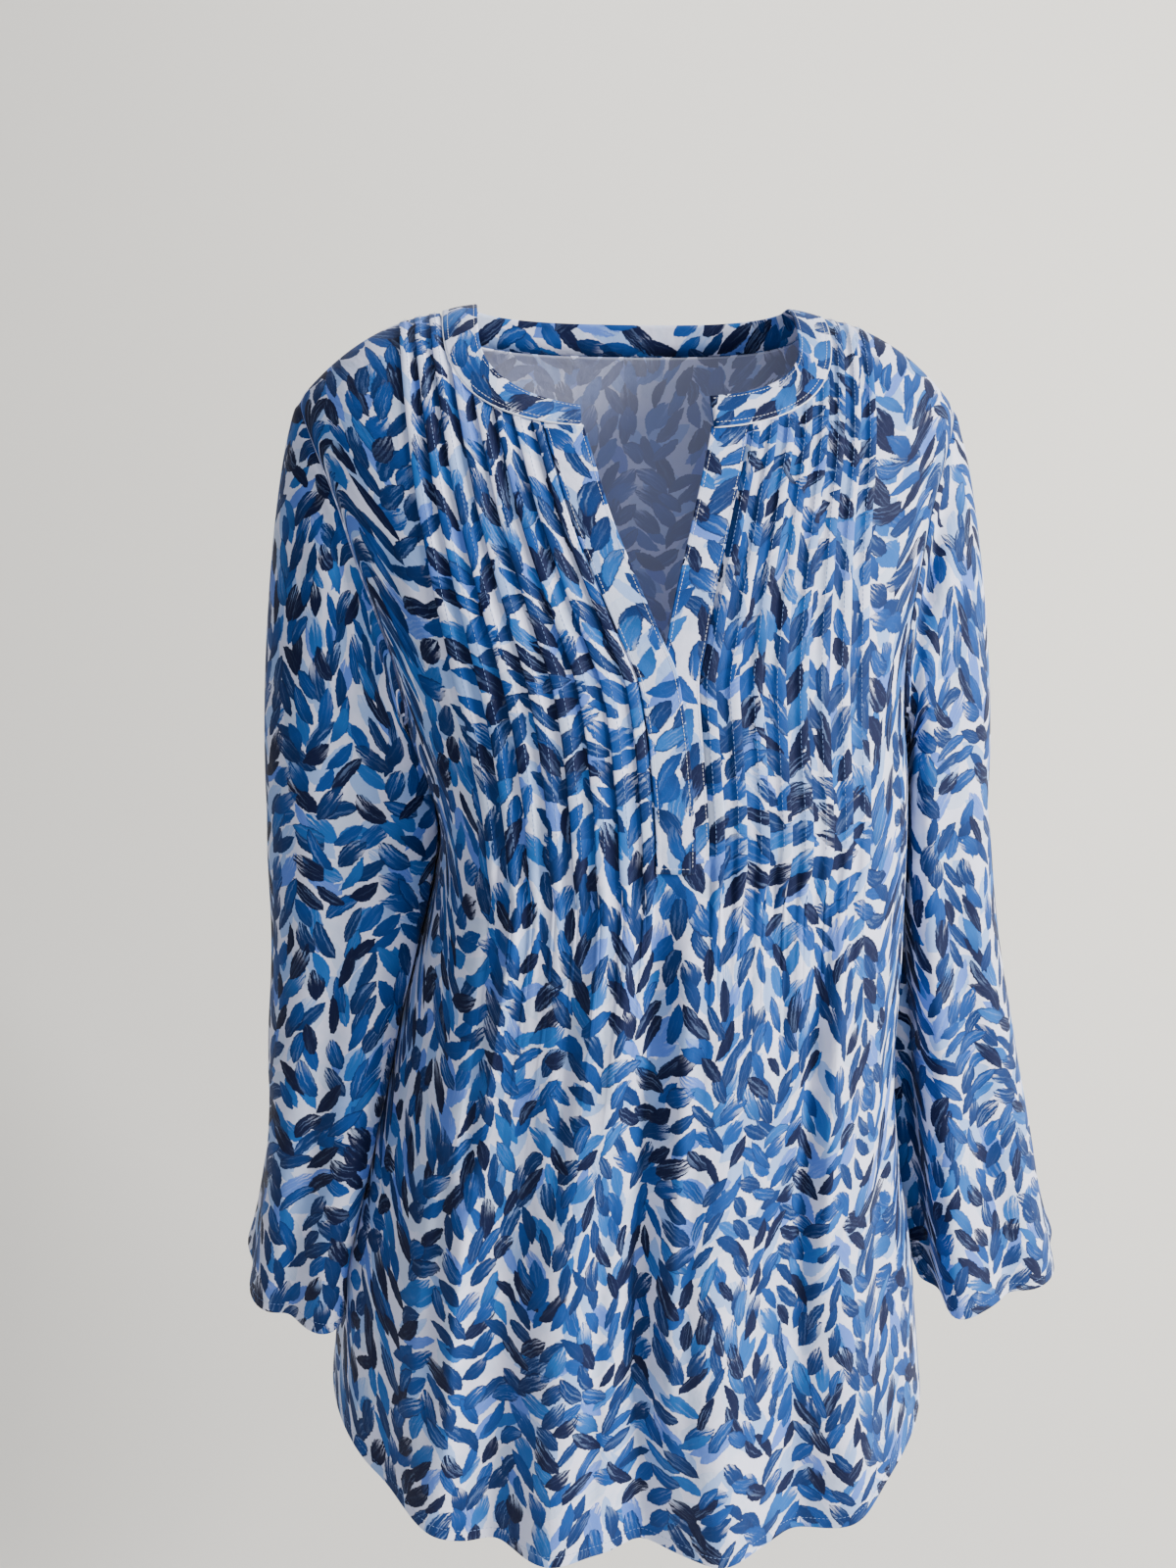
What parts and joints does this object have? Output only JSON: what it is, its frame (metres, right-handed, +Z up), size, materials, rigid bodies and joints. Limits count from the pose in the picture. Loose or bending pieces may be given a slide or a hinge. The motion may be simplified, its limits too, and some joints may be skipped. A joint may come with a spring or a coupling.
{
  "type": "pintucked blouse",
  "caption": "Long-sleeved pullover blouse with a slit round neck, pintucked front, flared sleeves and a curved hem, in its worn hollow shape.",
  "frame": {"origin": "midway between the two points where the shoulder seams meet the neck, the height at which the garment rests on the shoulders", "axes": "+Z up, from the hem to the neck; -Y towards the front of the garment; +X towards the viewer's right when the front is seen"},
  "size_m": [0.6173, 0.2668, 0.7634],
  "materials": {
    "printed_cloth": "matte crepe with a painterly leaf print in navy, mid blue, periwinkle and pale blue on lavender white",
    "printed_bands": "the same printed crepe, doubled and lined"
  },
  "bodies": {
    "root": {"front": "printed_cloth", "back": "printed_cloth", "sleeve_right": "printed_cloth", "sleeve_left": "printed_cloth", "neckband": "printed_bands", "slit_band_over": "printed_bands", "slit_band_under": "printed_bands"}
  },
  "joints": []
}
